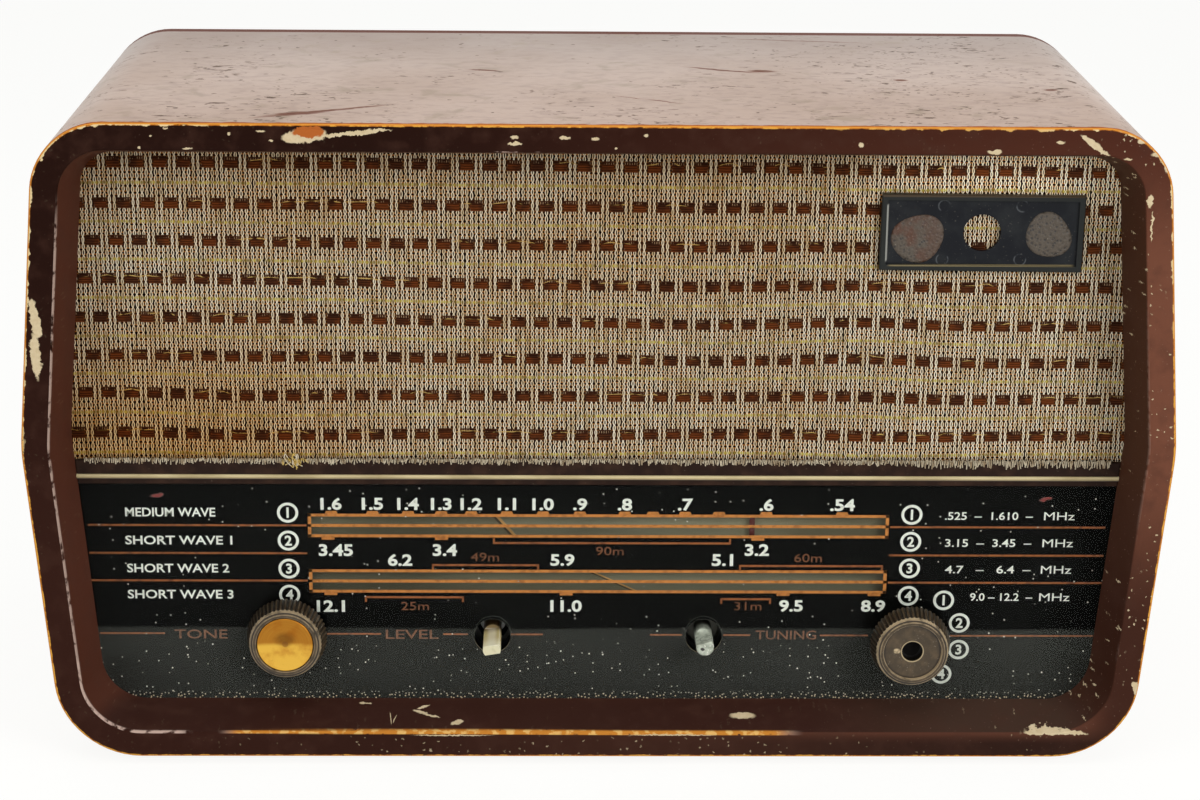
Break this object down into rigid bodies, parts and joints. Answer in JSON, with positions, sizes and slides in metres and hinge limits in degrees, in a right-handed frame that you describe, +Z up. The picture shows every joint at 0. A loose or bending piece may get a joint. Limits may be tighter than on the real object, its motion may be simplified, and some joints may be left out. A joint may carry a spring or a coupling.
{
  "type": "table radio receiver",
  "caption": "Wooden table radio with bowed sides, woven grille, long glass dial with sliding pointer, fluted knobs, tuning drive, loudspeaker and battery box inside.",
  "frame": {"origin": "on the standing surface, under the middle of the cabinet", "axes": "+X to the right as seen from the front, +Y to the back so the dial faces -Y, +Z up"},
  "size_m": [0.3996, 0.182, 0.233],
  "materials": {
    "lacquered_plywood": "worn red-brown lacquer over bent plywood",
    "lining_paint": "dark brown paint, chipped to a cream ground",
    "divider_paint": "dark brown paint",
    "cream_strip": "aged cream plastic",
    "softboard": "plain board",
    "grille_cloth": "woven grey and cream yarn with brown blocks",
    "plate_plastic": "dark moulded plastic",
    "dried_glue": "rough brown dried glue",
    "dial_glass": "clear glass with dust",
    "mask_black": "gloss black print",
    "backplate_paint": "grey-green paint",
    "zinc_steel": "zinc plated steel",
    "pointer_red": "dark red paint",
    "cord": "braided cord",
    "ivory_plastic": "ivory moulded plastic",
    "brass": "dull brass",
    "aluminium": "mill finish",
    "knob_plastic": "dark brown moulded plastic, rubbed",
    "gold_cap": "gold lacquered metal, tarnished",
    "shaft_metal": "grey metal",
    "phenolic": "brown phenolic sheet",
    "tin_can": "drawn aluminium",
    "dark_case": "dark grey case",
    "blue_sleeve": "blue plastic sleeve",
    "resistor_body": "tan body",
    "core_steel": "laminated steel and paper",
    "ferrite": "ferrite",
    "copper_wire": "enamelled copper wire",
    "speaker_steel": "pressed steel",
    "magnet": "ferrite magnet",
    "cone_paper": "black paper",
    "box_plastic": "black moulded plastic",
    "cell_jacket": "printed steel jacket without lettering",
    "hardboard": "brown hardboard",
    "cleat_wood": "bare pine",
    "rubber": "black rubber"
  },
  "bodies": {
    "cabinet": {"cabinet_wrap": "lacquered_plywood", "front_lining": "lining_paint", "divider_bar": "divider_paint", "trim_strip": "cream_strip", "baffle_board": "softboard", "grille_cloth": "grille_cloth", "name_plate": "plate_plastic", "glue_residue": "dried_glue", "dial_glass": "dial_glass", "dial_mask": "mask_black", "dial_backplate": "backplate_paint", "dial_spacers": "zinc_steel", "dial_cord": "cord", "pulley_pins": "zinc_steel", "gang_stators": "aluminium", "gang_frame": "zinc_steel", "tuning_bush": "brass", "volume_pot": "zinc_steel", "tone_pot": "zinc_steel", "band_switch": "phenolic", "control_nuts": "brass", "chassis": "zinc_steel", "chassis_screws": "zinc_steel", "circuit_board": "phenolic", "board_pillars": "zinc_steel", "if_cans": "tin_can", "transistors": "dark_case", "electrolytics": "blue_sleeve", "resistors": "resistor_body", "audio_transformers": "core_steel", "ferrite_rod": "ferrite", "aerial_coils": "copper_wire", "rod_holders": "ivory_plastic", "speaker_basket": "speaker_steel", "speaker_magnet": "magnet", "speaker_screws": "zinc_steel", "battery_box": "box_plastic", "battery_cells": "cell_jacket", "battery_contacts": "zinc_steel", "back_cover": "hardboard", "back_cleats": "cleat_wood", "back_screws": "brass", "aerial_terminals": "phenolic", "feet": "rubber"},
    "tone_control": {"tone_knob": "knob_plastic", "tone_knob_cap": "gold_cap", "tone_shaft": "ivory_plastic"},
    "volume_control": {"volume_shaft": "ivory_plastic"},
    "tuning_control": {"tuning_spindle": "shaft_metal"},
    "dial_drive": {"dial_drum": "ivory_plastic", "drum_spring": "zinc_steel", "drive_pinion": "brass"},
    "gang_blades": {"gang_rotor": "aluminium", "reduction_gear": "brass"},
    "dial_pointer": {"pointer": "pointer_red"},
    "left_idler": {"left_pulley": "ivory_plastic"},
    "right_idler": {"right_pulley": "ivory_plastic"},
    "band_control": {"band_knob": "knob_plastic", "band_shaft": "shaft_metal"},
    "loudspeaker_cone": {"speaker_cone": "cone_paper"}
  },
  "joints": [
    {"name": "tone_turn", "type": "hinge", "parent": "cabinet", "child": "tone_control", "pos_m": [-0.112, 0, 0.04145], "axis": [0, 1, 0], "range_deg": [0, 300]},
    {"name": "volume_turn", "type": "hinge", "parent": "cabinet", "child": "volume_control", "pos_m": [-0.0381, 0, 0.04145], "axis": [0, 1, 0], "range_deg": [-150, 150]},
    {"name": "tuning_turn", "type": "hinge", "parent": "cabinet", "child": "tuning_control", "pos_m": [0.0381, 0, 0.04145], "axis": [0, 1, 0], "range_deg": [-2449, 711]},
    {"name": "drum_turn", "type": "hinge", "parent": "cabinet", "child": "dial_drive", "pos_m": [0.075, 0, 0.066], "axis": [0, 1, 0], "range_deg": [-121.6, 418.5]},
    {"name": "gang_turn", "type": "hinge", "parent": "cabinet", "child": "gang_blades", "pos_m": [0.0654, 0, 0.08263], "axis": [0, 1, 0], "range_deg": [-139.6, 40.6]},
    {"name": "pointer_slide", "type": "slide", "parent": "cabinet", "child": "dial_pointer", "axis": [1, 0, 0], "range_m": [-0.155, 0.045]},
    {"name": "left_idler_turn", "type": "hinge", "parent": "cabinet", "child": "left_idler", "pos_m": [-0.116, 0, 0.09], "axis": [0, 1, 0], "range_deg": [-1479.8, 429.7]},
    {"name": "right_idler_turn", "type": "hinge", "parent": "cabinet", "child": "right_idler", "pos_m": [0.116, 0, 0.09], "axis": [0, 1, 0], "range_deg": [-1479.8, 429.7]},
    {"name": "band_turn", "type": "hinge", "parent": "cabinet", "child": "band_control", "pos_m": [0.112, 0, 0.04145], "axis": [0, 1, 0], "range_deg": [0, 90]},
    {"name": "cone_slide", "type": "slide", "parent": "cabinet", "child": "loudspeaker_cone", "axis": [0, 1, 0], "range_m": [-0.001, 0.001], "stiffness_N_per_m": 1500}
  ],
  "couplings": [
    {"joint": "drum_turn", "follows": "tuning_turn", "ratio": -0.17082},
    {"joint": "gang_turn", "follows": "tuning_turn", "ratio": 0.056941},
    {"joint": "pointer_slide", "follows": "tuning_turn", "m_per_rad": 0.003625},
    {"joint": "left_idler_turn", "follows": "tuning_turn", "ratio": 0.60417},
    {"joint": "right_idler_turn", "follows": "tuning_turn", "ratio": 0.60417}
  ]
}
